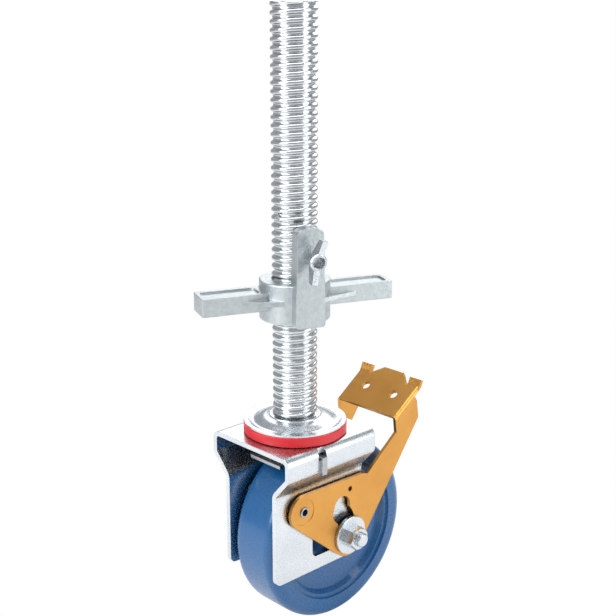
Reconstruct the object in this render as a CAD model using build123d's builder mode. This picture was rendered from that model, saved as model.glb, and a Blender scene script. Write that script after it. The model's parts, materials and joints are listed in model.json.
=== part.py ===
"""Levelling castor for a mobile tower or heavy frame.

A threaded spindle tube carries a cast wing nut that sets the height of the tube standing on it.
Under the spindle a swivel head holds a folded fork.  The wheel's axle slides in the fork's slots:
free, it trails behind the spindle; pressing the pedal turns the cam slots of the lever, which pull
the axle back under the spindle and the tread against the brake spring.

Frame: the origin is on the spindle's axis, in the plane of the swivel disc's rim.  +Z runs up the
spindle, +X points to the pedal along the rolling direction, and the axle lies along Y.
"""

import os
from math import acos, atan2, cos, hypot, radians, sin

from build123d import *

os.makedirs("parts", exist_ok=True)

# --- driving dimensions (mm, degrees) -----------------------------------------------------------

# spindle tube with its rolled round thread
thread_diameter = 37.0
thread_pitch = 6.6
thread_depth = 2.1
crest_width = 1.5
root_width = 1.3
tube_bore = 25.0
spindle_seat = 5.2          # height of the tube's lower end over the disc's rim
spindle_top = 337.0
lower_neck = 8.0            # plain neck under the first turn
end_chamfer = 2.0
stop_mark_height = 172.0
stop_mark_diameter = 5.0
stop_mark_depth = 2.6
stop_mark_turn = 177.0

# swivel head
disc_diameter = 85.4
disc_lip = 1.5
disc_plate = 3.0
disc_shoulder_radius = 22.0
seal_diameter = 86.4
seal_height = 8.7
seal_wall = 4.6
seal_gap = 0.5
upper_ball_ring = 33.0
upper_ball_count = 20
lower_ball_diameter = 4.6
lower_ball_ring = 15.5
lower_ball_count = 14
race_depth = 0.6
king_pin_diameter = 18.0
king_plug_length = 30.0
lower_race_diameter = 41.0
lower_race_plate = 2.2
king_head_diameter = 27.0
king_head_height = 1.9

# fork: one folded sheet with joggled legs
sheet = 4.0
head_half_width = 46.3
leg_half_width = 30.7
fork_back = -50.6
fork_front = 48.9
skirt_height = 19.3
joggle_height = 17.5
leg_drop = 117.0
fold_radius = 7.0
joggle_radius = 6.0
back_corner = 6.0
front_corner = 22.0
keyhole_centre = -12.8
keyhole_width = 8.6
keyhole_drop = 9.8
slot_corner = 5.5

# wheel and axle
wheel_diameter = 160.0
wheel_width = 47.5
tread_corner = 9.0
rim_width = 9.0
rim_recess = 2.2
web_recess = 7.0
hub_diameter = 50.0
axle_drop = 94.7            # axle below the fork's bridge
trail_free = 29.6           # axle ahead of the spindle with the brake off
trail_locked = 1.2          # axle nearly under the spindle with the brake on
axle_tube_diameter = 18.0
bolt_diameter = 12.0
washer_diameter = 34.0
washer_thickness = 3.0
nut_across_flats = 18.0
nut_height = 10.0
bolt_tail = 4.0
nut_crown = 1.4
axle_nut_turn = 12.0
bolt_head_height = 7.5
roller_diameter = 5.0
roller_count = 12
roller_half_length = 18.0
roller_cage_wall = 3.4

# black guide blocks that carry the axle in the fork's slots
guide_size = 20.0
guide_corner = 5.0
guide_flange_diameter = 34.6
guide_flange = 1.6

# brake lever: one folded sheet that straddles the wheel
lever_sheet = 3.0
lever_half_width = 35.6
pivot_x = -23.0
pivot_drop = 56.8           # pivot below the fork's bridge
lever_swing = 39.0          # pedal travel that draws the axle in
lever_dwell = 6.5           # further cam length past the locked point
pivot_end_radius = 15.0
axle_end_radius = 19.8
cam_width = 18.7
cam_eye_diameter = 33.0
pedal_inner_x = 86.0
pedal_inner_drop = 3.5      # pedal's inner edge below the fork's bridge
pedal_slope = 35.0
pedal_depth = 37.0
pedal_tongue = 8.5
pedal_hole_diameter = 7.8
pedal_hole_spacing = 33.4
pedal_hole_offset = 21.4
grip_width = 13.1
grip_height = 6.0
grip_lean = 30.0
grip_teeth = 4
lever_fold = 2.6
lever_fold_overlap = 0.8
pedal_fold_depth = 28.0     # the arms join the pedal over this depth
notch_outer = 22.5
notch_inner = 20.5
notch_depth = 1.8
tongue_half_width = 11.5
brow_x = 46.0               # rounded top of the arm over the axle
brow_z = -60.0
brow_radius = 6.0
shoulder_x = 52.0
shoulder_z = -55.8
throat_x = 87.8
throat_z = -28.3
toe_x = 113.2               # foremost corner under the pedal
toe_z = -20.5
toe_radius = 3.0
lever_nose = 15.5
peep_x = 30.4
peep_z = -63.3
peep_hole_diameter = 4.6

# hollow pivot rivets
rivet_diameter = 7.6
rivet_bore = 6.0
rivet_flange = 13.0
rivet_shoulder = 16.0
rivet_rim_diameter = 9.0
rivet_rim = 1.0
coin_diameter = 22.0        # pressed ring round the pivot
coin_depth = 0.4

# brake spring, hooked into the keyholes
spring_sheet = 2.5
spring_lug_width = 5.4
spring_lug_length = 15.0
spring_width = 36.0
spring_arm_in = 26.0        # inner edge of the side arms
leaf_back = -34.0
shoe_gap = 1.5              # left between the shoe and the drawn-in tread
shoe_web_foot = -27.0

# cast levelling nut
collar_diameter = 58.0
collar_bottom = 88.0
collar_height = 32.6
handle_reach = 81.5
handle_width = 25.3
handle_height = 14.6
handle_lift = 18.0          # handles' middle above the collar's lower face
handle_tray = 1.6
handle_rim = 3.4
gusset_thickness = 4.0
gusset_reach = 52.0
cast_edge = 1.2
ear_face = 36.0
ear_bore_radius = 26.4
ear_top = 169.0
ear_top_width = 21.6
ear_foot_width = 25.4
ear_corner = 3.0
ear_crown = 4.0             # rise of the ear's arched top
screw_height = 145.0
nut_turn = -22.5            # handles' direction about the spindle

# wing screw in the ear
screw_diameter = 10.0
screw_hub_diameter = 13.8
screw_hub_length = 17.5
screw_neck_length = 6.0
screw_cup_diameter = 10.0
screw_cup_depth = 8.0
wing_span = 35.0
wing_flare = 6.5
wing_thickness = 4.6
wing_tip = 8.5
wing_foot = 5.0
wing_turn = 14.5

# named clearances
running_clearance = 0.3     # curved faces that move past each other
slide_clearance = 0.35
face_clearance = 0.15       # flat faces that move past each other
fit_clearance = 0.05

# --- derived places ------------------------------------------------------------------------------

bridge_top = -(disc_lip + seal_height + seal_gap)
bridge_under = bridge_top - sheet
joggle_top = bridge_top - skirt_height
joggle_bottom = joggle_top - joggle_height
leg_bottom = bridge_top - leg_drop
leg_inside = leg_half_width - sheet
axle_z = bridge_top - axle_drop
pivot_z = bridge_top - pivot_drop
wheel_radius = wheel_diameter / 2
disc_radius = disc_diameter / 2
thread_radius = thread_diameter / 2
root_radius = thread_radius - thread_depth
nut_bore_radius = thread_radius + slide_clearance
axle_travel = trail_free - trail_locked
lever_inside = lever_half_width - lever_sheet
tube_radius = axle_tube_diameter / 2
collar_radius = collar_diameter / 2
collar_top = collar_bottom + collar_height
pedal_inner_z = bridge_top - pedal_inner_drop
nut_axis = Plane(origin=(0, 0, 0), x_dir=(cos(radians(nut_turn)), sin(radians(nut_turn)), 0), z_dir=(0, 0, 1))


def on_side(height=0.0):
    """Sketch plane of the side view: local x is X, local y is Z, extruding towards -Y."""
    return Plane(origin=(0, height, 0), x_dir=(1, 0, 0), z_dir=(0, -1, 0))


def lever_point(angle, x, z):
    """Where the point (x, z) lies on the resting lever once the lever has swung by angle."""
    turn = radians(angle)
    dx, dz = x - pivot_x, z - pivot_z
    return (pivot_x + dx * cos(turn) - dz * sin(turn), pivot_z + dx * sin(turn) + dz * cos(turn))


# --- spindle -------------------------------------------------------------------------------------

thread_start = spindle_seat + lower_neck
turn_count = int((spindle_top - end_chamfer - thread_start) / thread_pitch)
flank = (thread_pitch - crest_width - root_width) / 2

with BuildPart() as spindle:
    with BuildSketch(Plane.XZ) as spindle_profile:
        with BuildLine():
            outline = [(tube_bore / 2, spindle_seat), (root_radius - 0.6, spindle_seat), (root_radius, thread_start)]
            for turn in range(turn_count):
                foot = thread_start + turn * thread_pitch
                outline += [
                    (root_radius, foot + root_width),
                    (thread_radius, foot + root_width + flank),
                    (thread_radius, foot + root_width + flank + crest_width),
                    (root_radius, foot + thread_pitch),
                ]
            outline += [(root_radius, spindle_top - 0.6), (root_radius - 0.6, spindle_top)]
            outline += [(tube_bore / 2, spindle_top), (tube_bore / 2, spindle_seat)]
            Polyline(*outline)
        make_face()
    revolve(axis=Axis.Z)
    # the peened mark that stops the nut
    mark_direction = Vector(cos(radians(stop_mark_turn)), sin(radians(stop_mark_turn)), 0)
    mark_plane = Plane(
        origin=mark_direction * (thread_radius - stop_mark_depth) + Vector(0, 0, stop_mark_height),
        z_dir=mark_direction,
    )
    with BuildSketch(mark_plane):
        Circle(stop_mark_diameter / 2)
    extrude(amount=stop_mark_depth * 2, mode=Mode.SUBTRACT)
spindle.part.label = "spindle"
export_step(spindle.part, "parts/spindle.step")

# --- swivel head: disc, seal, balls, king pin ----------------------------------------------------

upper_ball_radius = (-disc_plate - bridge_top) / 2 + race_depth - fit_clearance
upper_ball_z = (bridge_top - disc_plate) / 2
lower_ball_radius = lower_ball_diameter / 2
lower_race_top = bridge_under - 2 * (lower_ball_radius - race_depth + fit_clearance)
lower_race_bottom = lower_race_top - lower_race_plate
lower_ball_z = (bridge_under + lower_race_top) / 2
king_radius = king_pin_diameter / 2
pin_hole_radius = king_radius + fit_clearance
seal_radius = seal_diameter / 2
seal_bottom = -disc_lip - seal_height
race_land = seal_radius - seal_wall - running_clearance
seat_radius = thread_radius - 1.5
dish_radius = disc_radius - 3.2

with BuildPart() as top_disc:
    with BuildSketch(Plane.XZ):
        with BuildLine():
            Polyline(
                (pin_hole_radius, spindle_seat),
                (seat_radius, spindle_seat),
                (seat_radius + 2.0, spindle_seat - 0.7),
                (disc_shoulder_radius - 0.6, spindle_seat - 0.9),
                (disc_shoulder_radius, spindle_seat - 1.8),
                (disc_shoulder_radius + 2.0, spindle_seat - 2.2),
            )
            Spline(
                (disc_shoulder_radius + 2.0, spindle_seat - 2.2),
                (disc_radius - 6.0, -0.8),
                (dish_radius, 0),
                tangents=[(1, -0.1), (1, 0.3)],
            )
            Polyline(
                (dish_radius, 0),
                (disc_radius, 0),
                (disc_radius, -disc_lip),
                (race_land, -disc_lip),
                (race_land, -disc_plate),
                (upper_ball_ring - upper_ball_radius, -disc_plate),
                (disc_shoulder_radius - 1.0, spindle_seat - 2.0 - disc_plate),
                (pin_hole_radius, spindle_seat - 2.0 - disc_plate),
                (pin_hole_radius, spindle_seat),
            )
        make_face()
        with Locations((upper_ball_ring, upper_ball_z)):
            Circle(upper_ball_radius + fit_clearance, mode=Mode.SUBTRACT)
    revolve(axis=Axis.Z)
top_disc.part.label = "top_disc"
export_step(top_disc.part, "parts/top_disc.step")

with BuildPart() as seal_ring:
    with BuildSketch(Plane.XZ):
        with Locations((seal_radius - seal_wall / 2, (seal_bottom - disc_lip) / 2)):
            RectangleRounded(seal_wall, seal_height, 1.2)
    revolve(axis=Axis.Z)
seal_ring.part.label = "seal_ring"
export_step(seal_ring.part, "parts/seal_ring.step")

with BuildPart() as upper_balls:
    with PolarLocations(upper_ball_ring, upper_ball_count):
        with Locations((0, 0, upper_ball_z)):
            Sphere(upper_ball_radius)
upper_balls.part.label = "upper_balls"
export_step(upper_balls.part, "parts/upper_balls.step")

with BuildPart() as lower_balls:
    with PolarLocations(lower_ball_ring, lower_ball_count):
        with Locations((0, 0, lower_ball_z)):
            Sphere(lower_ball_radius)
lower_balls.part.label = "lower_balls"
export_step(lower_balls.part, "parts/lower_balls.step")

with BuildPart() as lower_race:
    with BuildSketch(Plane.XZ):
        with Locations(((pin_hole_radius + lower_race_diameter / 2) / 2, lower_race_top - lower_race_plate / 2)):
            Rectangle(lower_race_diameter / 2 - pin_hole_radius, lower_race_plate)
        with Locations((lower_ball_ring, lower_ball_z)):
            Circle(lower_ball_radius + fit_clearance, mode=Mode.SUBTRACT)
    revolve(axis=Axis.Z)
lower_race.part.label = "lower_race"
export_step(lower_race.part, "parts/lower_race.step")

with BuildPart() as king_pin:
    with BuildSketch(Plane.XY.offset(spindle_seat)):
        Circle(tube_bore / 2 - fit_clearance)
    extrude(amount=king_plug_length)
    chamfer(king_pin.edges().group_by(Axis.Z)[-1], 2)
    with BuildSketch(Plane.XY.offset(lower_race_bottom)):
        Circle(king_radius)
    extrude(amount=spindle_seat - lower_race_bottom)
    with BuildSketch(Plane.XY.offset(lower_race_bottom - king_head_height)):
        Circle(king_head_diameter / 2)
    extrude(amount=king_head_height)
    chamfer(king_pin.edges().group_by(Axis.Z)[0], 1)
king_pin.part.label = "king_pin"
export_step(king_pin.part, "parts/king_pin.step")

# --- fork: folded bridge, skirts and joggled legs ------------------------------------------------

fork_length = fork_front - fork_back
slot_back = trail_locked - guide_size / 2 - running_clearance
slot_front = trail_free + guide_size / 2 + running_clearance
slot_height = guide_size + 2 * running_clearance

with BuildPart() as fork:
    with BuildSketch(Plane.YZ.offset(fork_back)):
        with BuildLine():
            FilletPolyline(
                (-leg_half_width, leg_bottom),
                (-leg_half_width, joggle_bottom),
                (-head_half_width, joggle_top),
                (-head_half_width, bridge_top),
                (head_half_width, bridge_top),
                (head_half_width, joggle_top),
                (leg_half_width, joggle_bottom),
                (leg_half_width, leg_bottom),
                radius=fold_radius,
            )
            offset(amount=sheet, side=Side.RIGHT)
        make_face()
    extrude(amount=fork_length)
    legs_ends = fork.edges().filter_by(Axis.Y).group_by(Axis.Z)[0]
    fillet(legs_ends.group_by(Axis.X)[0], back_corner)
    legs_ends = fork.edges().filter_by(Axis.Y).group_by(Axis.Z)[0]
    fillet(legs_ends.group_by(Axis.X)[-1], front_corner)
    # slots for the axle's guides and holes for the pivot rivets, through both legs
    with BuildSketch(on_side()):
        with Locations(((slot_back + slot_front) / 2, axle_z)):
            RectangleRounded(slot_front - slot_back, slot_height, slot_corner)
        with Locations((pivot_x, pivot_z)):
            Circle(rivet_diameter / 2 + fit_clearance)
    extrude(amount=head_half_width, both=True, mode=Mode.SUBTRACT)
    # keyholes for the brake spring's lugs, cut through the folds
    for side in (1, -1):
        with BuildSketch(on_side(side * (head_half_width - sheet - running_clearance))):
            with Locations((keyhole_centre, bridge_top - keyhole_drop / 2)):
                RectangleRounded(keyhole_width, keyhole_drop, keyhole_width / 2 - fit_clearance)
            with Locations((keyhole_centre, bridge_top - keyhole_drop * 3 / 4)):
                Rectangle(keyhole_width, keyhole_drop / 2)
        extrude(amount=-side * head_half_width, mode=Mode.SUBTRACT)
    # king pin hole and ball races
    with BuildSketch(Plane.XY.offset(bridge_under)):
        Circle(pin_hole_radius)
    extrude(amount=sheet, mode=Mode.SUBTRACT)
    with BuildSketch(Plane.XZ):
        with Locations((upper_ball_ring, upper_ball_z)):
            Circle(upper_ball_radius + fit_clearance)
        with Locations((lower_ball_ring, lower_ball_z)):
            Circle(lower_ball_radius + fit_clearance)
    revolve(axis=Axis.Z, mode=Mode.SUBTRACT)
fork.part.label = "fork"
export_step(fork.part, "parts/fork.step")

# --- brake spring: a leaf with its shoe round the drawn-in wheel, hooked into the keyholes --------

leaf_under = bridge_top - keyhole_drop
leaf_top = leaf_under + spring_sheet
leaf_front = -(lower_race_diameter / 2 + 1.5)
shoe_inner = wheel_radius + shoe_gap
lug_front = keyhole_centre + spring_lug_width / 2
arm_half_width = head_half_width - sheet - fold_radius / 2

with BuildPart() as brake_spring:
    with BuildSketch(on_side()):
        with Locations((trail_locked, axle_z)):
            Circle(shoe_inner + spring_sheet)
            Circle(shoe_inner, mode=Mode.SUBTRACT)
        with Locations(((leaf_back + leaf_front) / 2, joggle_bottom)):
            Rectangle(leaf_front - leaf_back, joggle_bottom - leg_bottom, mode=Mode.INTERSECT)
        with Locations((leaf_front - spring_sheet / 2, (leaf_top + shoe_web_foot) / 2)):
            Rectangle(spring_sheet, leaf_top - shoe_web_foot)
    extrude(amount=spring_width / 2, both=True)
    with BuildSketch(Plane.XY.offset(leaf_under)):
        with Locations(((leaf_back + leaf_front) / 2, 0)):
            Rectangle(leaf_front - leaf_back, 2 * arm_half_width)
        for side in (1, -1):
            with Locations(((leaf_back + lug_front) / 2, side * (arm_half_width + spring_arm_in) / 2)):
                Rectangle(lug_front - leaf_back, arm_half_width - spring_arm_in)
            with Locations((keyhole_centre, side * (spring_arm_in + head_half_width + spring_sheet) / 2)):
                Rectangle(spring_lug_width, head_half_width + spring_sheet - spring_arm_in)
    extrude(amount=spring_sheet)
    # lugs, out through the keyholes and down the outside of the skirts
    with BuildSketch(Plane.XY.offset(leaf_top)):
        with GridLocations(0, 2 * head_half_width + spring_sheet, 1, 2):
            with Locations((keyhole_centre, 0)):
                Rectangle(spring_lug_width, spring_sheet)
    extrude(amount=-spring_lug_length)
brake_spring.part.label = "brake_spring"
export_step(brake_spring.part, "parts/brake_spring.step")

# --- pivot rivets: hollow, shouldered between leg and lever --------------------------------------

barrel_radius = rivet_diameter / 2
coin_floor = lever_half_width - coin_depth

for side, label in ((1, "pivot_rivet_left"), (-1, "pivot_rivet_right")):
    rivet_plane = Plane(origin=(pivot_x, 0, pivot_z), x_dir=(0, side, 0), z_dir=(side, 0, 0))
    with BuildPart() as pivot_rivet:
        with BuildSketch(rivet_plane):
            with BuildLine():
                Polyline(
                    (leg_inside - rivet_rim, rivet_bore / 2),
                    (leg_inside - rivet_rim, rivet_flange / 2),
                    (leg_inside, rivet_flange / 2),
                    (leg_inside, barrel_radius),
                    (leg_half_width, barrel_radius),
                    (leg_half_width, rivet_shoulder / 2),
                    (lever_inside - face_clearance, rivet_shoulder / 2),
                    (lever_inside - face_clearance, barrel_radius),
                    (coin_floor + face_clearance, barrel_radius),
                    (coin_floor + face_clearance, rivet_rim_diameter / 2),
                    (coin_floor + face_clearance + rivet_rim / 2, rivet_rim_diameter / 2),
                    (coin_floor + face_clearance + rivet_rim, rivet_rim_diameter / 2 - rivet_rim / 2),
                    (coin_floor + face_clearance + rivet_rim, rivet_bore / 2),
                    close=True,
                )
            make_face()
        revolve(axis=Axis((pivot_x, 0, pivot_z), (0, 1, 0)))
    pivot_rivet.part.label = label
    export_step(pivot_rivet.part, f"parts/{label}.step")

# --- brake lever: two cam arms and a pedal folded from one sheet ---------------------------------

pedal_plane = Plane(
    origin=(pedal_inner_x, 0, pedal_inner_z),
    x_dir=(cos(radians(pedal_slope)), 0, sin(radians(pedal_slope))),
    z_dir=(-sin(radians(pedal_slope)), 0, cos(radians(pedal_slope))),
)
fold_end = (
    pedal_inner_x + pedal_fold_depth * cos(radians(pedal_slope)),
    pedal_inner_z + pedal_fold_depth * sin(radians(pedal_slope)),
)
axle_place = (trail_free, axle_z)
cam_steps = [lever_swing * step / 6 for step in range(7)]
cam_locus = [lever_point(angle, trail_free - axle_travel * angle / lever_swing, axle_z) for angle in cam_steps]
dwell_end = lever_point(lever_swing + lever_dwell, trail_locked, axle_z)
cam_radius = cam_width / 2


def beside_locus(offset_amount):
    """Points along the axle's path in the lever, moved sideways by offset_amount."""
    points = []
    for index, (x, z) in enumerate(cam_locus):
        ahead = cam_locus[min(index + 1, len(cam_locus) - 1)]
        behind = cam_locus[max(index - 1, 0)]
        dx, dz = ahead[0] - behind[0], ahead[1] - behind[1]
        length = hypot(dx, dz)
        points.append((x - dz / length * offset_amount, z + dx / length * offset_amount))
    return points


with BuildPart() as brake_lever:
    for side in (1, -1):
        with BuildSketch(on_side(side * lever_half_width)):
            with BuildSketch(mode=Mode.PRIVATE) as rear_blank:
                with Locations((pivot_x, pivot_z)):
                    Circle(pivot_end_radius)
                with Locations(axle_place):
                    Circle(axle_end_radius)
                with Locations((brow_x, brow_z)):
                    Circle(brow_radius)
                make_hull(rear_blank.edges())
            with BuildSketch(mode=Mode.PRIVATE) as front_blank:
                with Locations(axle_place):
                    Circle(axle_end_radius)
                with Locations((toe_x, toe_z)):
                    Circle(toe_radius)
                make_hull(front_blank.edges())
            add(rear_blank.sketch)
            add(front_blank.sketch)
            with BuildLine():
                Polyline(
                    axle_place,
                    (brow_x, brow_z + brow_radius),
                    (shoulder_x, shoulder_z),
                    (throat_x, throat_z),
                    (pedal_inner_x, pedal_inner_z),
                    fold_end,
                    (toe_x + toe_radius * 0.2, toe_z + lever_nose),
                    (toe_x + toe_radius, toe_z),
                    (toe_x, toe_z),
                    close=True,
                )
            make_face()
            # eye for the axle's guide, cam slot along the axle's path, dwell at its end
            with Locations(axle_place):
                Circle(cam_eye_diameter / 2, mode=Mode.SUBTRACT)
            with BuildLine():
                near_edge = Spline(*beside_locus(-cam_radius))
                far_edge = Spline(*beside_locus(cam_radius))
                Line(near_edge @ 0, far_edge @ 0)
                Line(near_edge @ 1, far_edge @ 1)
            make_face(mode=Mode.SUBTRACT)
            with BuildSketch(mode=Mode.PRIVATE) as dwell:
                with Locations(cam_locus[-1], dwell_end):
                    Circle(cam_radius)
                make_hull(dwell.edges())
            add(dwell.sketch, mode=Mode.SUBTRACT)
            with Locations((peep_x, peep_z)):
                Circle(peep_hole_diameter / 2, mode=Mode.SUBTRACT)
            with Locations((pivot_x, pivot_z)):
                Circle(barrel_radius + fit_clearance, mode=Mode.SUBTRACT)
        extrude(amount=side * lever_sheet)
        with BuildSketch(on_side(side * lever_half_width)):
            with Locations((pivot_x, pivot_z)):
                Circle(coin_diameter / 2)
        extrude(amount=side * coin_depth, mode=Mode.SUBTRACT)
    # pedal plate with its tongue, notches and two holes
    with BuildSketch(pedal_plane):
        with BuildLine():
            Polyline(
                (0, -lever_half_width),
                (pedal_depth, -lever_half_width),
                (pedal_depth, -notch_outer),
                (pedal_depth - notch_depth, -notch_outer),
                (pedal_depth - notch_depth, -notch_inner),
                (pedal_depth, -notch_inner),
                (pedal_depth + pedal_tongue, -tongue_half_width),
                (pedal_depth + pedal_tongue, tongue_half_width),
                (pedal_depth, notch_inner),
                (pedal_depth - notch_depth, notch_inner),
                (pedal_depth - notch_depth, notch_outer),
                (pedal_depth, notch_outer),
                (pedal_depth, lever_half_width),
                (0, lever_half_width),
                close=True,
            )
        make_face()
        with Locations((pedal_hole_offset, pedal_hole_spacing / 2), (pedal_hole_offset, -pedal_hole_spacing / 2)):
            Circle(pedal_hole_diameter / 2, mode=Mode.SUBTRACT)
    extrude(amount=-lever_sheet)
    # upturned grips with notched teeth
    grip_angle = radians(pedal_slope + grip_lean)
    grip_plane = Plane(
        origin=pedal_plane.from_local_coords((pedal_depth, 0, 0)),
        x_dir=(cos(grip_angle), 0, sin(grip_angle)),
        z_dir=(-sin(grip_angle), 0, cos(grip_angle)),
    )
    grip_step = grip_width / (2 * grip_teeth - 1)
    for side in (1, -1):
        with BuildSketch(grip_plane):
            with Locations(((grip_height - lever_fold_overlap) / 2, side * (notch_outer + grip_width / 2))):
                Rectangle(grip_height + lever_fold_overlap, grip_width)
            for tooth in range(grip_teeth - 1):
                with Locations((grip_height, side * (notch_outer + grip_step * (2 * tooth + 1.5)))):
                    Rectangle(grip_step * 2, grip_step * 0.8, mode=Mode.SUBTRACT)
        extrude(amount=-lever_sheet)
    long_folds = brake_lever.edges().filter_by(
        lambda e: e.geom_type == GeomType.LINE
        and abs(abs(e.center().Y) - lever_half_width) < 0.01
        and abs(pedal_plane.to_local_coords(e.center()).Z) < 0.01
    )
    fillet(long_folds, lever_fold)
brake_lever.part.label = "brake_lever"
export_step(brake_lever.part, "parts/brake_lever.step")

# --- axle carriage: tube, bolt, washers, nut and guides ------------------------------------------

tube_half_length = lever_half_width + running_clearance
hub_half_length = leg_inside - running_clearance
washer_outer = tube_half_length + washer_thickness
axle_axis = Axis((trail_free, 0, axle_z), (0, 1, 0))
bolt_radius = bolt_diameter / 2

with BuildPart() as axle_tube:
    with BuildSketch(on_side(tube_half_length)):
        with Locations(axle_place):
            Circle(tube_radius)
            Circle(bolt_radius + fit_clearance, mode=Mode.SUBTRACT)
    extrude(amount=2 * tube_half_length)
axle_tube.part.label = "axle_tube"
export_step(axle_tube.part, "parts/axle_tube.step")

for side, label in ((1, "washer_left"), (-1, "washer_right")):
    with BuildPart() as washer:
        with BuildSketch(on_side(side * tube_half_length)):
            with Locations(axle_place):
                Circle(washer_diameter / 2)
                Circle(bolt_radius + fit_clearance, mode=Mode.SUBTRACT)
        extrude(amount=-side * washer_thickness)
        outer_rim = washer.edges().filter_by(GeomType.CIRCLE).sort_by(SortBy.RADIUS)[-2:]
        fillet(outer_rim.sort_by(Axis.Y)[-1 if side > 0 else 0], washer_thickness / 4)
    washer.part.label = label
    export_step(washer.part, f"parts/{label}.step")

for side, label in ((1, "guide_left"), (-1, "guide_right")):
    with BuildPart() as guide:
        with BuildSketch(on_side(side * leg_inside)):
            with Locations(axle_place):
                RectangleRounded(guide_size, guide_size, guide_corner)
        extrude(amount=-side * (sheet + face_clearance))
        with BuildSketch(on_side(side * (leg_half_width + face_clearance))):
            with Locations(axle_place):
                Circle(guide_flange_diameter / 2)
        extrude(amount=-side * guide_flange)
        with BuildSketch(on_side(0)):
            with Locations(axle_place):
                Circle(tube_radius + fit_clearance)
        extrude(amount=lever_half_width, both=True, mode=Mode.SUBTRACT)
    guide.part.label = label
    export_step(guide.part, f"parts/{label}.step")

with BuildPart() as axle_bolt:
    with BuildSketch(on_side(washer_outer)):
        with Locations(axle_place):
            Circle(bolt_radius)
    extrude(amount=2 * washer_outer + nut_height + bolt_tail)
    chamfer(axle_bolt.edges().group_by(Axis.Y)[0], 1)
    with BuildSketch(on_side(washer_outer)):
        with Locations(axle_place):
            RegularPolygon(nut_across_flats / 2, 6, major_radius=False)
    extrude(amount=-bolt_head_height)
axle_bolt.part.label = "axle_bolt"
export_step(axle_bolt.part, "parts/axle_bolt.step")

with BuildPart() as axle_nut:
    with BuildSketch(on_side(-washer_outer)):
        with Locations(axle_place):
            RegularPolygon(nut_across_flats / 2, 6, major_radius=False, rotation=axle_nut_turn)
    extrude(amount=nut_height)
    # thirty-degree rounding of the hexagon's corners
    with BuildSketch(Plane(origin=(trail_free, 0, axle_z), x_dir=(0, -1, 0), z_dir=(-1, 0, 0))):
        with BuildLine():
            Polyline(
                (washer_outer, 0),
                (washer_outer, nut_across_flats),
                (washer_outer + nut_height - nut_crown, nut_across_flats / 2 + nut_crown),
                (washer_outer + nut_height, nut_across_flats / 2),
                (washer_outer + nut_height, 0),
                close=True,
            )
        make_face()
    revolve(axis=axle_axis, mode=Mode.INTERSECT)
    with BuildSketch(on_side(-washer_outer)):
        with Locations(axle_place):
            Circle(bolt_radius + fit_clearance)
    extrude(amount=nut_height, mode=Mode.SUBTRACT)
axle_nut.part.label = "axle_nut"
export_step(axle_nut.part, "parts/axle_nut.step")

# --- wheel and its roller bearing -----------------------------------------------------------------

roller_radius = roller_diameter / 2
roller_ring = tube_radius + fit_clearance + roller_radius
hub_bore = roller_ring + roller_radius + fit_clearance
hub_radius = hub_diameter / 2
half_width = wheel_width / 2
rim_radius = wheel_radius - tread_corner - rim_width
wheel_profile_plane = Plane(origin=(trail_free, 0, axle_z), x_dir=(0, 1, 0), z_dir=(1, 0, 0))

with BuildPart() as wheel:
    with BuildSketch(wheel_profile_plane):
        with BuildLine():
            Polyline(
                (0, hub_bore),
                (hub_half_length, hub_bore),
                (hub_half_length, hub_radius - 1.5),
                (hub_half_length - 1.5, hub_radius),
                (half_width - web_recess, hub_radius + 3.0),
                (half_width - web_recess, rim_radius - 6.0),
                (half_width - rim_recess, rim_radius - 3.0),
                (half_width - rim_recess, rim_radius),
                (half_width, rim_radius + 0.8),
                (half_width, wheel_radius - tread_corner),
            )
            JernArc(
                start=(half_width, wheel_radius - tread_corner),
                tangent=(0, 1),
                radius=tread_corner,
                arc_size=90,
            )
            Polyline((half_width - tread_corner, wheel_radius), (0, wheel_radius), (0, hub_bore))
        make_face()
        mirror(about=Plane.YZ)
    revolve(axis=axle_axis)
wheel.part.label = "wheel"
export_step(wheel.part, "parts/wheel.step")

with BuildPart() as bearing_rollers:
    with BuildSketch(on_side(roller_half_length)):
        with Locations(axle_place):
            with PolarLocations(roller_ring, roller_count):
                Circle(roller_radius)
    extrude(amount=2 * roller_half_length)
bearing_rollers.part.label = "bearing_rollers"
export_step(bearing_rollers.part, "parts/bearing_rollers.step")

with BuildPart() as roller_cage:
    with BuildSketch(on_side(roller_half_length + roller_cage_wall)):
        with Locations(axle_place):
            Circle(hub_bore - running_clearance)
            Circle(tube_radius + running_clearance, mode=Mode.SUBTRACT)
    extrude(amount=2 * (roller_half_length + roller_cage_wall))
    with BuildSketch(on_side(roller_half_length + fit_clearance)):
        with Locations(axle_place):
            with PolarLocations(roller_ring, roller_count):
                Circle(roller_radius + fit_clearance)
    extrude(amount=2 * (roller_half_length + fit_clearance), mode=Mode.SUBTRACT)
roller_cage.part.label = "roller_cage"
export_step(roller_cage.part, "parts/roller_cage.step")

# --- cast levelling nut ---------------------------------------------------------------------------

handle_z = collar_bottom + handle_lift
handle_middle = (handle_reach + nut_bore_radius) / 2
handle_length = handle_reach - nut_bore_radius
tray_length = handle_reach - collar_radius - 2 * handle_rim
gusset_edge = handle_width / 2 - cast_edge
tangent_radius = collar_radius - cast_edge
tangent_turn = atan2(gusset_edge, gusset_reach) + acos(tangent_radius / hypot(gusset_edge, gusset_reach))
tangent_along = tangent_radius * cos(tangent_turn)
tangent_across = tangent_radius * sin(tangent_turn)
ear_outward = Vector(sin(radians(nut_turn)), -cos(radians(nut_turn)), 0)
ear_plane = Plane(
    origin=ear_outward * ear_face,
    x_dir=(cos(radians(nut_turn)), sin(radians(nut_turn)), 0),
    z_dir=ear_outward,
)

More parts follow.
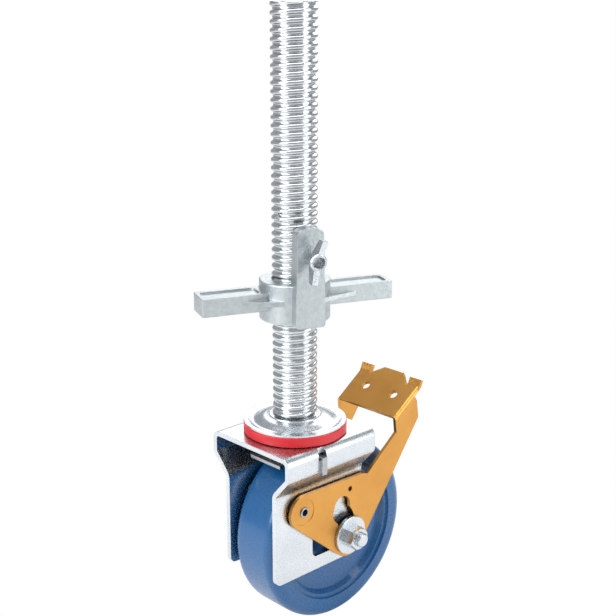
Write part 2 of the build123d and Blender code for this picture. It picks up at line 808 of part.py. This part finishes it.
with BuildPart() as levelling_nut:
    with BuildSketch(nut_axis.offset(collar_bottom)):
        Circle(collar_radius)
    extrude(amount=collar_height)
    fillet(levelling_nut.edges().filter_by(GeomType.CIRCLE), cast_edge)
    # handles with a shallow tray in their tops
    with BuildSketch(nut_axis.offset(handle_z - handle_height / 2)):
        with Locations((handle_middle, 0), (-handle_middle, 0)):
            RectangleRounded(handle_length, handle_width, cast_edge)
    extrude(amount=handle_height)
    with BuildSketch(nut_axis.offset(handle_z + handle_height / 2)):
        with Locations((handle_reach - handle_rim - tray_length / 2, 0), (tray_length / 2 + handle_rim - handle_reach, 0)):
            RectangleRounded(tray_length, handle_width - 2 * handle_rim, handle_rim)
    extrude(amount=-handle_tray, mode=Mode.SUBTRACT)
    # thin gussets between handles and collar
    with BuildSketch(nut_axis.offset(handle_z - gusset_thickness / 2)):
        with BuildLine():
            Polyline(
                (gusset_reach, -gusset_edge),
                (gusset_reach, gusset_edge),
                (tangent_along, tangent_across),
                (-tangent_along, tangent_across),
                (-gusset_reach, gusset_edge),
                (-gusset_reach, -gusset_edge),
                (-tangent_along, -tangent_across),
                (tangent_along, -tangent_across),
                close=True,
            )
        make_face()
    extrude(amount=gusset_thickness)
    # ear that steadies the tube on the nut
    with BuildSketch(ear_plane):
        with BuildLine():
            Polyline(
                (-ear_top_width / 2, ear_top - ear_crown),
                (-ear_foot_width / 2, collar_bottom),
                (ear_foot_width / 2, collar_bottom),
                (ear_top_width / 2, ear_top - ear_crown),
            )
            ThreePointArc(
                (ear_top_width / 2, ear_top - ear_crown),
                (0, ear_top),
                (-ear_top_width / 2, ear_top - ear_crown),
            )
        ear_outline = make_face()
        fillet(ear_outline.vertices().group_by(Axis.Z)[-1], ear_corner)
    extrude(amount=-(ear_face - collar_radius / 2))
    with BuildSketch(nut_axis.offset(collar_top)):
        Circle(ear_bore_radius)
    extrude(amount=ear_top, mode=Mode.SUBTRACT)
    with BuildSketch(nut_axis):
        Circle(nut_bore_radius)
    extrude(amount=ear_top, mode=Mode.SUBTRACT)
    # hole for the wing screw
    with BuildSketch(ear_plane):
        with Locations((0, screw_height)):
            Circle(screw_diameter / 2 + fit_clearance)
    extrude(amount=-(ear_face - nut_bore_radius), mode=Mode.SUBTRACT)
levelling_nut.part.label = "levelling_nut"
export_step(levelling_nut.part, "parts/levelling_nut.step")

# --- wing screw -----------------------------------------------------------------------------------

screw_origin = ear_outward * ear_face + Vector(0, 0, screw_height)
screw_plane = Plane(origin=screw_origin, x_dir=(0, 0, 1), z_dir=ear_outward)
hub_radius_screw = screw_hub_diameter / 2
shank_radius = screw_diameter / 2

with BuildPart() as wing_screw:
    with BuildSketch(Plane(screw_plane.origin, x_dir=ear_outward, z_dir=ear_plane.x_dir)):
        with BuildLine():
            Polyline(
                (ear_bore_radius - ear_face, 0),
                (ear_bore_radius - ear_face, shank_radius - 1.0),
                (ear_bore_radius - ear_face + 1.0, shank_radius),
                (screw_neck_length, shank_radius),
                (screw_neck_length + screw_hub_diameter / 4, hub_radius_screw - 0.6),
                (screw_hub_length - 1.0, hub_radius_screw),
                (screw_hub_length, hub_radius_screw - 0.8),
                (screw_hub_length, screw_cup_diameter / 2),
                (screw_hub_length - screw_cup_depth, screw_cup_diameter / 2 - 1.2),
                (screw_hub_length - screw_cup_depth, 0),
                close=True,
            )
        make_face()
    revolve(axis=Axis(screw_plane.origin, ear_outward))
    # two wings that flare outward
    wing_up = Vector(0, 0, 1) * cos(radians(wing_turn)) + ear_plane.x_dir * sin(radians(wing_turn))
    for side in (1, -1):
        with BuildSketch(Plane(screw_plane.origin, x_dir=ear_outward, z_dir=(wing_up * side).cross(ear_outward) * -1)):
            with BuildLine():
                Polyline(
                    (wing_foot, 0),
                    (wing_foot, hub_radius_screw - 1.0),
                    (wing_foot + wing_flare, wing_span / 2 - 1.5),
                    (wing_foot + wing_flare + 1.0, wing_span / 2),
                    (wing_foot + wing_flare + wing_tip, wing_span / 2),
                    (screw_hub_length - 0.5, hub_radius_screw - 1.0),
                    (screw_hub_length - 0.5, 0),
                    close=True,
                )
            make_face()
        extrude(amount=wing_thickness / 2, both=True)
    with BuildSketch(Plane(screw_plane.origin + ear_outward * screw_hub_length, x_dir=(0, 0, 1), z_dir=ear_outward)):
        Circle(screw_cup_diameter / 2 - 0.6)
    extrude(amount=-screw_cup_depth, taper=4, mode=Mode.SUBTRACT)
wing_screw.part.label = "wing_screw"
export_step(wing_screw.part, "parts/wing_screw.step")
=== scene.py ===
"""Studio view of a levelling castor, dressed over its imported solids.

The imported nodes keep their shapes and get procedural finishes.  The spindle is drawn again with a
true right-hand helix, and the axle's bolt tail with its own thread, both by Geometry Nodes.
"""

import json
import logging
from dataclasses import dataclass
from enum import Enum
from math import cos, pi, radians, sin

import bpy
from mathutils import Matrix, Vector


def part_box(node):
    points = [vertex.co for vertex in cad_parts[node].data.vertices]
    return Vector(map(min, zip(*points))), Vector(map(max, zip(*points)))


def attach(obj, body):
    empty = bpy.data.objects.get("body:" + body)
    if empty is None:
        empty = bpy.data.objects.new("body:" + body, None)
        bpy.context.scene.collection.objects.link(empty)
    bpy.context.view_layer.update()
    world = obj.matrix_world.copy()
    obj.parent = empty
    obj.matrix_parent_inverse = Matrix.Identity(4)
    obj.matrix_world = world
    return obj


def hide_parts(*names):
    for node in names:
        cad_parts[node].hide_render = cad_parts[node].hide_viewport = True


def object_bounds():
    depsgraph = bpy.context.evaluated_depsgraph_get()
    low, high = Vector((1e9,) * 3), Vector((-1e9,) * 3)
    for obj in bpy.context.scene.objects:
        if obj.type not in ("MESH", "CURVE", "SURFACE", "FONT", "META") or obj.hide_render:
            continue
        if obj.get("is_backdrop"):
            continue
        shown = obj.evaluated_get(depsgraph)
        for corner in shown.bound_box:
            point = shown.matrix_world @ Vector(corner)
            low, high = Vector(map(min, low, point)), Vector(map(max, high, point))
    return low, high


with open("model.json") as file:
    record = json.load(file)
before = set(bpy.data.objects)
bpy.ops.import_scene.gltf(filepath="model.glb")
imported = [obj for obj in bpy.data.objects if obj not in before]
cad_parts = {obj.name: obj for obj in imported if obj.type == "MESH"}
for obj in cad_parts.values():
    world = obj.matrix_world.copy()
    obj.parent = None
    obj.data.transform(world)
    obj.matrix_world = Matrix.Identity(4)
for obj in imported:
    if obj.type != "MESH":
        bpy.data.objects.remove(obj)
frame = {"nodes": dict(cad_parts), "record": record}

MM = 0.001
LOG = logging.getLogger("levelling_castor")


class Body(str, Enum):
    """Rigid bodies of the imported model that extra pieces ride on."""

    STEM = "stem"
    CARRIAGE = "axle_carriage"


@dataclass(frozen=True)
class Finish:
    """A procedural surface.

    Args:
        slot: the record's material slot.
        colour: linear base colour.
        shade: second colour that the mottling drifts to.
        metallic: 0 for plastics, 1 for metals.
        roughness: mean roughness.
        drift: how far the roughness wanders.
        grain: size of the mottling, in metres.
        streak: stretch of the mottling along Z, 1 for none.
        relief: height of the fine bump, in metres.
        relief_size: size of the fine bump, in metres.
        edge: radius that sharp edges are softened by, in metres.
        coat: clear coat weight.
    """

    slot: str
    colour: tuple[float, float, float]
    shade: tuple[float, float, float]
    metallic: float = 1.0
    roughness: float = 0.3
    drift: float = 0.1
    grain: float = 0.012
    streak: float = 1.0
    relief: float = 0.00002
    relief_size: float = 0.0015
    edge: float = 0.0005
    coat: float = 0.0

    def material(self) -> bpy.types.Material:
        """Build the finish as a node material.

        Returns:
            The new material.
        """
        made = bpy.data.materials.new(self.slot)
        made.use_nodes = True
        tree = made.node_tree
        shader = tree.nodes["Principled BSDF"]
        place = tree.nodes.new("ShaderNodeTexCoord")
        stretch = tree.nodes.new("ShaderNodeMapping")
        stretch.inputs["Scale"].default_value = (1.0, 1.0, 1.0 / self.streak)
        tree.links.new(place.outputs["Object"], stretch.inputs["Vector"])
        mottle = self._noise(tree, stretch.outputs["Vector"], 1.0 / self.grain, 5.0)
        fine = self._noise(tree, stretch.outputs["Vector"], 1.0 / self.relief_size, 3.0)
        colours = tree.nodes.new("ShaderNodeMix")
        colours.data_type = "RGBA"
        colours.inputs["A"].default_value = (*self.colour, 1.0)
        colours.inputs["B"].default_value = (*self.shade, 1.0)
        tree.links.new(mottle, colours.inputs["Factor"])
        tree.links.new(colours.outputs["Result"], shader.inputs["Base Color"])
        wander = tree.nodes.new("ShaderNodeMapRange")
        wander.inputs["From Min"].default_value = 0.3
        wander.inputs["From Max"].default_value = 0.7
        wander.inputs["To Min"].default_value = max(0.03, self.roughness - self.drift)
        wander.inputs["To Max"].default_value = self.roughness + self.drift
        tree.links.new(fine, wander.inputs["Value"])
        tree.links.new(wander.outputs["Result"], shader.inputs["Roughness"])
        shader.inputs["Metallic"].default_value = self.metallic
        shader.inputs["Coat Weight"].default_value = self.coat
        soft_edge = tree.nodes.new("ShaderNodeBevel")
        soft_edge.samples = 4
        soft_edge.inputs["Radius"].default_value = self.edge
        bump = tree.nodes.new("ShaderNodeBump")
        bump.inputs["Strength"].default_value = 1.0
        bump.inputs["Distance"].default_value = self.relief
        tree.links.new(fine, bump.inputs["Height"])
        tree.links.new(soft_edge.outputs["Normal"], bump.inputs["Normal"])
        tree.links.new(bump.outputs["Normal"], shader.inputs["Normal"])
        return made

    @staticmethod
    def _noise(
        tree: bpy.types.NodeTree, vector: bpy.types.NodeSocket, scale: float, detail: float
    ) -> bpy.types.NodeSocket:
        """Add a noise texture.

        Args:
            tree: the material's node tree.
            vector: where the noise is read.
            scale: its scale, per metre.
            detail: its octaves.

        Returns:
            The noise's value socket.
        """
        noise = tree.nodes.new("ShaderNodeTexNoise")
        noise.inputs["Scale"].default_value = scale
        noise.inputs["Detail"].default_value = detail
        tree.links.new(vector, noise.inputs["Vector"])
        return noise.outputs["Fac"]


ZINC = Finish("zinc_steel", (0.66, 0.69, 0.71), (0.50, 0.53, 0.56), roughness=0.27, drift=0.07, grain=0.02)
SPINDLE_ZINC = Finish(
    "zinc_steel", (0.74, 0.76, 0.77), (0.42, 0.44, 0.46), roughness=0.2, drift=0.09,
    grain=0.006, streak=6.0, edge=0.0003,
)
CAST = Finish(
    "cast_nut", (0.56, 0.60, 0.61), (0.36, 0.40, 0.41), roughness=0.4, drift=0.12, grain=0.004,
    relief=0.00022, relief_size=0.0016, edge=0.0011,
)
YELLOW = Finish(
    "yellow_zinc", (0.66, 0.36, 0.09), (0.50, 0.21, 0.05), roughness=0.36, drift=0.08,
    grain=0.03, relief=0.00003,
)
STEEL = Finish("bearing_steel", (0.46, 0.47, 0.48), (0.30, 0.31, 0.32), roughness=0.32, drift=0.1)
BLUE = Finish(
    "blue_wheel", (0.002, 0.095, 0.26), (0.001, 0.065, 0.20), metallic=0.0, roughness=0.3, drift=0.06,
    grain=0.05, relief=0.00003, edge=0.0012, coat=0.3,
)
RED = Finish(
    "red_seal", (0.62, 0.012, 0.02), (0.48, 0.008, 0.014), metallic=0.0, roughness=0.38,
    drift=0.06, grain=0.02,
)
BLACK = Finish(
    "black_guide", (0.012, 0.012, 0.014), (0.02, 0.02, 0.022), metallic=0.0, roughness=0.45, drift=0.08
)
FINISHES = {finish.slot: finish for finish in (ZINC, CAST, YELLOW, STEEL, BLUE, RED, BLACK)}


def dress_nodes() -> None:
    """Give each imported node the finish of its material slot."""
    made = {name: finish.material() for name, finish in FINISHES.items()}
    for entry in frame["record"]["subparts"]:
        node = frame["nodes"][entry["node"]]
        node.data.materials.clear()
        node.data.materials.append(made[entry["material_slot"]])


@dataclass
class HelixThread:
    """A right-hand thread drawn as one helical sheet by Geometry Nodes.

    Args:
        name: the new object's name.
        root: radius at the thread's root, in metres.
        crest: radius at its crest, in metres.
        pitch: rise per turn, in metres.
        low: height of its lower end, in metres.
        high: height of its upper end, in metres.
        crest_share: flat crest over the pitch.
        root_share: flat root over the pitch.
        steps: sides per turn.
        rows: points across one pitch.
    """

    name: str
    root: float
    crest: float
    pitch: float
    low: float
    high: float
    crest_share: float = 0.22
    root_share: float = 0.2
    steps: int = 56
    rows: int = 13

    def build(self, material: bpy.types.Material) -> bpy.types.Object:
        """Make the thread as a plain mesh along +Z.

        Args:
            material: the finish of the thread.

        Returns:
            The new object, linked to the scene.
        """
        turns = int((self.high - self.low) / self.pitch) + 2
        tree = bpy.data.node_groups.new(self.name, "GeometryNodeTree")
        tree.interface.new_socket("Geometry", in_out="OUTPUT", socket_type="NodeSocketGeometry")
        grid = tree.nodes.new("GeometryNodeMeshGrid")
        grid.inputs["Size X"].default_value = 1.0
        grid.inputs["Size Y"].default_value = 1.0
        grid.inputs["Vertices X"].default_value = turns * self.steps + 1
        grid.inputs["Vertices Y"].default_value = self.rows
        place = tree.nodes.new("GeometryNodeInputPosition")
        split = tree.nodes.new("ShaderNodeSeparateXYZ")
        tree.links.new(place.outputs["Position"], split.inputs[0])
        along = self._math(tree, "MULTIPLY_ADD", split.outputs["X"], turns, turns / 2)
        angle = self._math(tree, "MULTIPLY", along, 2 * pi)
        rise = self._math(tree, "ADD", along, split.outputs["Y"])
        height = self._math(tree, "MULTIPLY_ADD", rise, self.pitch, self.low - self.pitch / 2)
        clamped = self._math(tree, "MINIMUM", self._math(tree, "MAXIMUM", height, self.low), self.high)
        flank = tree.nodes.new("ShaderNodeMapRange")
        flank.interpolation_type = "SMOOTHSTEP"
        flank.inputs["From Min"].default_value = 0.5 - self.root_share / 2
        flank.inputs["From Max"].default_value = self.crest_share / 2
        flank.inputs["To Min"].default_value = self.root
        flank.inputs["To Max"].default_value = self.crest
        tree.links.new(self._math(tree, "ABSOLUTE", split.outputs["Y"]), flank.inputs["Value"])
        radius = flank.outputs["Result"]
        joined = tree.nodes.new("ShaderNodeCombineXYZ")
        across = self._math(tree, "MULTIPLY", radius, self._math(tree, "COSINE", angle))
        aside = self._math(tree, "MULTIPLY", radius, self._math(tree, "SINE", angle))
        tree.links.new(across, joined.inputs["X"])
        tree.links.new(aside, joined.inputs["Y"])
        tree.links.new(clamped, joined.inputs["Z"])
        move = tree.nodes.new("GeometryNodeSetPosition")
        tree.links.new(grid.outputs["Mesh"], move.inputs["Geometry"])
        tree.links.new(joined.outputs[0], move.inputs["Position"])
        smooth = tree.nodes.new("GeometryNodeSetShadeSmooth")
        tree.links.new(move.outputs["Geometry"], smooth.inputs["Geometry"])
        real = tree.nodes.new("GeometryNodeRealizeInstances")
        tree.links.new(smooth.outputs["Geometry"], real.inputs["Geometry"])
        paint = tree.nodes.new("GeometryNodeSetMaterial")
        paint.inputs["Material"].default_value = material
        tree.links.new(real.outputs["Geometry"], paint.inputs["Geometry"])
        output = tree.nodes.new("NodeGroupOutput")
        tree.links.new(paint.outputs["Geometry"], output.inputs[0])
        return converted(self.name, tree)

    @staticmethod
    def _math(
        tree: bpy.types.NodeTree, operation: str, *values: float | bpy.types.NodeSocket
    ) -> bpy.types.NodeSocket:
        """Add a maths node.

        Args:
            tree: the Geometry Nodes tree.
            operation: the node's operation.
            values: numbers or sockets for its inputs, in order.

        Returns:
            The result's socket.
        """
        node = tree.nodes.new("ShaderNodeMath")
        node.operation = operation
        for socket, value in zip(node.inputs, values):
            if isinstance(value, (int, float)):
                socket.default_value = value
            else:
                tree.links.new(value, socket)
        return node.outputs[0]


def converted(name: str, tree: bpy.types.NodeTree) -> bpy.types.Object:
    """Run a node tree on an empty mesh and keep what it makes as a plain mesh.

    Args:
        name: the object's name.
        tree: the Geometry Nodes tree.

    Returns:
        The new object, linked to the scene, with no modifier.
    """
    carrier = bpy.data.objects.new(name + "_carrier", bpy.data.meshes.new(name + "_carrier"))
    bpy.context.scene.collection.objects.link(carrier)
    modifier = carrier.modifiers.new("nodes", "NODES")
    modifier.node_group = tree
    bpy.context.view_layer.update()
    evaluated = carrier.evaluated_get(bpy.context.evaluated_depsgraph_get())
    mesh = bpy.data.meshes.new_from_object(evaluated)
    bpy.data.objects.remove(carrier)
    made = bpy.data.objects.new(name, mesh)
    bpy.context.scene.collection.objects.link(made)
    return made


def revolved(
    name: str, profile: list[tuple[float, float]], material: bpy.types.Material, steps: int = 96
) -> bpy.types.Object:
    """Turn a profile about Z.

    Args:
        name: the object's name.
        profile: (radius, height) points, in metres.
        material: the finish.
        steps: sides of the turn.

    Returns:
        The new object, linked to the scene.
    """
    points = []
    for step in range(steps):
        angle = 2 * pi * step / steps
        points += [(r * cos(angle), r * sin(angle), z) for r, z in profile]
    rows = len(profile)
    faces = []
    for step in range(steps):
        here, there = step * rows, (step + 1) % steps * rows
        faces += [(here + i, there + i, there + i + 1, here + i + 1) for i in range(rows - 1)]
    mesh = bpy.data.meshes.new(name)
    mesh.from_pydata(points, [], faces)
    mesh.materials.append(material)
    mesh.update()
    made = bpy.data.objects.new(name, mesh)
    bpy.context.scene.collection.objects.link(made)
    return made


@dataclass
class Spindle:
    """The threaded tube, with its true helix, its upper rim and bore, and the punched stop mark.

    Args:
        pitch: rise of the thread per turn, in metres.
        depth: depth of the thread, in metres.
        bore: radius of the tube's bore, in metres.
        bore_floor: height of the bore's floor over the tube's lower end, in metres.
        run_in: bare length under the thread, in metres.
        rim_drop: bevel of the upper rim, in metres.
        rim_skin: how far the rim's wall stands outside the thread's root, in metres.
        rim_length: length of that wall, in metres.
        neck_bevel: bevel of the tube's lower end, in metres.
        neck_skin: how far the neck stands outside the thread's root, in metres.
        neck_length: length of the neck, in metres.
        mark_height: height of the stop mark, in metres.
        mark_turn: bearing of the stop mark from +X, in radians.
    """

    pitch: float = 6.6 * MM
    depth: float = 2.1 * MM
    bore: float = 12.5 * MM
    bore_floor: float = 32 * MM
    run_in: float = 1.2 * MM
    rim_drop: float = 0.5 * MM
    rim_skin: float = 0.2 * MM
    rim_length: float = 3 * MM
    neck_bevel: float = 0.8 * MM
    neck_skin: float = 0.1 * MM
    neck_length: float = 4 * MM
    mark_height: float = 172 * MM
    mark_turn: float = radians(177)

    def build(self) -> None:
        """Make the spindle's pieces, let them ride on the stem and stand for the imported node."""
        low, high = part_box("spindle")
        crest = high.x
        root = crest - self.depth
        finish = SPINDLE_ZINC.material()
        thread = HelixThread(
            "spindle_thread", root=root, crest=crest, pitch=self.pitch, low=low.z + self.run_in, high=high.z
        ).build(finish)
        rim_radius = root + self.rim_skin
        rim = revolved(
            "spindle_rim",
            [
                (rim_radius, high.z - self.rim_length),
                (rim_radius, high.z - self.rim_drop),
                (root - self.rim_drop, high.z),
                (self.bore + self.rim_drop, high.z),
                (self.bore, high.z - self.rim_drop),
                (self.bore, low.z + self.bore_floor),
            ],
            finish,
        )
        neck_radius = root + self.neck_skin
        neck = revolved(
            "spindle_neck",
            [
                (root - self.neck_bevel, low.z),
                (neck_radius, low.z + self.neck_bevel),
                (neck_radius, low.z + self.neck_length),
            ],
            finish,
        )
        mark = self._mark(crest)
        for piece in (thread, rim, neck, mark):
            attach(piece, Body.STEM.value)
        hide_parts("spindle")

    def _mark(self, crest: float) -> bpy.types.Object:
        """Make the punched stop mark.

        Args:
            crest: radius of the thread's crest, in metres.

        Returns:
            The new object, in place.
        """
        out = Vector((cos(self.mark_turn), sin(self.mark_turn), 0))
        made = revolved(
            "stop_mark",
            [
                (0.1 * MM, -0.6 * MM),
                (1.2 * MM, -0.5 * MM),
                (1.7 * MM, 0.25 * MM),
                (2.6 * MM, 0.1 * MM),
                (2.9 * MM, -1.8 * MM),
            ],
            STEEL.material(),
            steps=24,
        )
        turn = out.to_track_quat("Z", "Y").to_matrix().to_4x4()
        made.data.transform(Matrix.Translation(out * crest + Vector((0, 0, self.mark_height))) @ turn)
        return made


@dataclass
class BoltTail:
    """Thread on the free end of the axle bolt.

    Args:
        pitch: rise of the thread per turn, in metres.
        depth: depth of the thread, in metres.
        radius: nominal radius of the bolt, in metres.
        skin: how far the crest stands outside that radius, in metres.
        sunk: how far the thread starts inside the nut, in metres.
        bare_end: bare length at the bolt's tip, in metres.
    """

    pitch: float = 1.75 * MM
    depth: float = 0.7 * MM
    radius: float = 6 * MM
    skin: float = 0.1 * MM
    sunk: float = 0.5 * MM
    bare_end: float = 0.9 * MM

    def build(self) -> None:
        """Wrap the bolt's tail in a fine helix that rides on the axle's carriage."""
        nut_low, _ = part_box("axle_nut")
        bolt_low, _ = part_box("axle_bolt")
        wheel_low, wheel_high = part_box("wheel")
        middle = (wheel_low + wheel_high) / 2
        length = nut_low.y - bolt_low.y
        thread = HelixThread(
            "bolt_thread",
            root=self.radius - self.depth,
            crest=self.radius + self.skin,
            pitch=self.pitch,
            low=-self.sunk,
            high=length - self.bare_end,
            crest_share=0.15,
            root_share=0.15,
            steps=40,
        ).build(ZINC.material())
        thread.data.transform(
            Matrix.Translation((middle.x, nut_low.y, middle.z)) @ Matrix.Rotation(radians(90), 4, "X")
        )
        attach(thread, Body.CARRIAGE.value)


@dataclass(frozen=True)
class Panel:
    """A soft rectangular light, placed from the middle of the castor as the camera sees it.

    Args:
        name: the light's name.
        right: how far to the right it hangs, in metres.
        ahead: how far beyond the castor, in metres.
        up: how far above, in metres.
        width: width of the panel, in metres.
        height: height of the panel, in metres.
        power: its power, in watts.
    """

    name: str
    right: float
    ahead: float
    up: float
    width: float
    height: float
    power: float


PANELS = (
    Panel("key", right=-1.1, ahead=-0.7, up=0.7, width=0.9, height=1.3, power=21.0),
    Panel("fill", right=1.3, ahead=-0.5, up=0.35, width=0.8, height=1.3, power=11.0),
    Panel("top", right=0.0, ahead=-0.1, up=1.4, width=1.2, height=1.2, power=16.0),
    Panel("back", right=0.3, ahead=1.2, up=0.8, width=1.4, height=0.8, power=8.0),
)


@dataclass
class Studio:
    """Camera, lights, white ground and world.

    Args:
        eye: where the camera stands, in metres.
        heading: bearing it looks along from +X, in radians.
        pitch_down: how far it looks down, in radians.
        lens: focal length, in millimetres.
        sensor: width of the camera's sensor, in millimetres.
        shift_y: upward shift of the lens, as a share of the sensor.
        lit_height: height of the point that the lights face, in metres.
    """

    eye: Vector = Vector((-0.6306, -0.6741, 0.3629))
    heading: float = radians(46.24)
    pitch_down: float = 0.2810
    lens: float = 68.9
    sensor: float = 36.0
    shift_y: float = -0.0028
    lit_height: float = 0.08

    def build(self) -> None:
        """Set up everything that is not the object."""
        self._camera()
        self._lights()
        self._ground()
        self._world()
        view = bpy.context.scene.view_settings
        view.view_transform = "Standard"

    def _camera(self) -> None:
        """Place the camera and make it the scene's own."""
        data = bpy.data.cameras.new("camera")
        data.lens = self.lens
        data.sensor_width = self.sensor
        data.shift_y = self.shift_y
        data.clip_start = 0.01
        camera = bpy.data.objects.new("camera", data)
        ahead = Vector((cos(self.heading), sin(self.heading), 0))
        right = Vector((ahead.y, -ahead.x, 0))
        forward = ahead * cos(self.pitch_down) - Vector((0, 0, sin(self.pitch_down)))
        above = right.cross(forward)
        turn = Matrix((right, above, -forward)).transposed().to_4x4()
        camera.matrix_world = Matrix.Translation(self.eye) @ turn
        bpy.context.scene.collection.objects.link(camera)
        bpy.context.scene.camera = camera

    def _lights(self) -> None:
        """Hang four soft panels round the castor."""
        centre = Vector((0, 0, self.lit_height))
        ahead = Vector((cos(self.heading), sin(self.heading), 0))
        right = Vector((ahead.y, -ahead.x, 0))
        up = Vector((0, 0, 1))
        for panel in PANELS:
            offset = right * panel.right + ahead * panel.ahead + up * panel.up
            data = bpy.data.lights.new(panel.name, "AREA")
            data.shape = "RECTANGLE"
            data.size = panel.width
            data.size_y = panel.height
            data.energy = panel.power
            lamp = bpy.data.objects.new(panel.name, data)
            lamp.location = centre + offset
            lamp.rotation_euler = (-offset).to_track_quat("-Z", "Y").to_euler()
            bpy.context.scene.collection.objects.link(lamp)

    def _ground(self) -> None:
        """Lay the pale floor under the wheel."""
        low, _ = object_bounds()
        mesh = bpy.data.meshes.new("ground")
        reach = 6.0
        clearance = 0.0002
        corners = [(-reach, -reach), (reach, -reach), (reach, reach), (-reach, reach)]
        mesh.from_pydata([(x, y, low.z - clearance) for x, y in corners], [], [(0, 1, 2, 3)])
        ground = bpy.data.objects.new("ground", mesh)
        bpy.context.scene.collection.objects.link(ground)
        made = bpy.data.materials.new("ground")
        made.use_nodes = True
        tree = made.node_tree
        tree.nodes["Principled BSDF"].inputs["Base Color"].default_value = (0.82, 0.82, 0.82, 1.0)
        tree.nodes["Principled BSDF"].inputs["Roughness"].default_value = 0.9
        path = tree.nodes.new("ShaderNodeLightPath")
        white = tree.nodes.new("ShaderNodeEmission")
        blend = tree.nodes.new("ShaderNodeMixShader")
        tree.links.new(path.outputs["Is Camera Ray"], blend.inputs["Fac"])
        tree.links.new(tree.nodes["Principled BSDF"].outputs["BSDF"], blend.inputs[1])
        tree.links.new(white.outputs["Emission"], blend.inputs[2])
        tree.links.new(blend.outputs["Shader"], tree.nodes["Material Output"].inputs["Surface"])
        mesh.materials.append(made)
        ground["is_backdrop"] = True

    def _world(self) -> None:
        """Light the room softly, with white behind the castor."""
        world = bpy.data.worlds.new("studio")
        bpy.context.scene.world = world
        world.use_nodes = True
        tree = world.node_tree
        dim = tree.nodes["Background"]
        dim.inputs["Color"].default_value = (0.93, 0.96, 1.0, 1.0)
        dim.inputs["Strength"].default_value = 0.5
        white = tree.nodes.new("ShaderNodeBackground")
        white.inputs["Color"].default_value = (1.0, 1.0, 1.0, 1.0)
        path = tree.nodes.new("ShaderNodeLightPath")
        blend = tree.nodes.new("ShaderNodeMixShader")
        tree.links.new(path.outputs["Is Camera Ray"], blend.inputs["Fac"])
        tree.links.new(dim.outputs["Background"], blend.inputs[1])
        tree.links.new(white.outputs["Background"], blend.inputs[2])
        tree.links.new(blend.outputs["Shader"], tree.nodes["World Output"].inputs["Surface"])


def main() -> None:
    """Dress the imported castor, add its threads and set the studio round it."""
    logging.basicConfig(level=logging.INFO)
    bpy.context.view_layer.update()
    dress_nodes()
    Spindle().build()
    BoltTail().build()
    Studio().build()


if __name__ == "__main__":
    main()
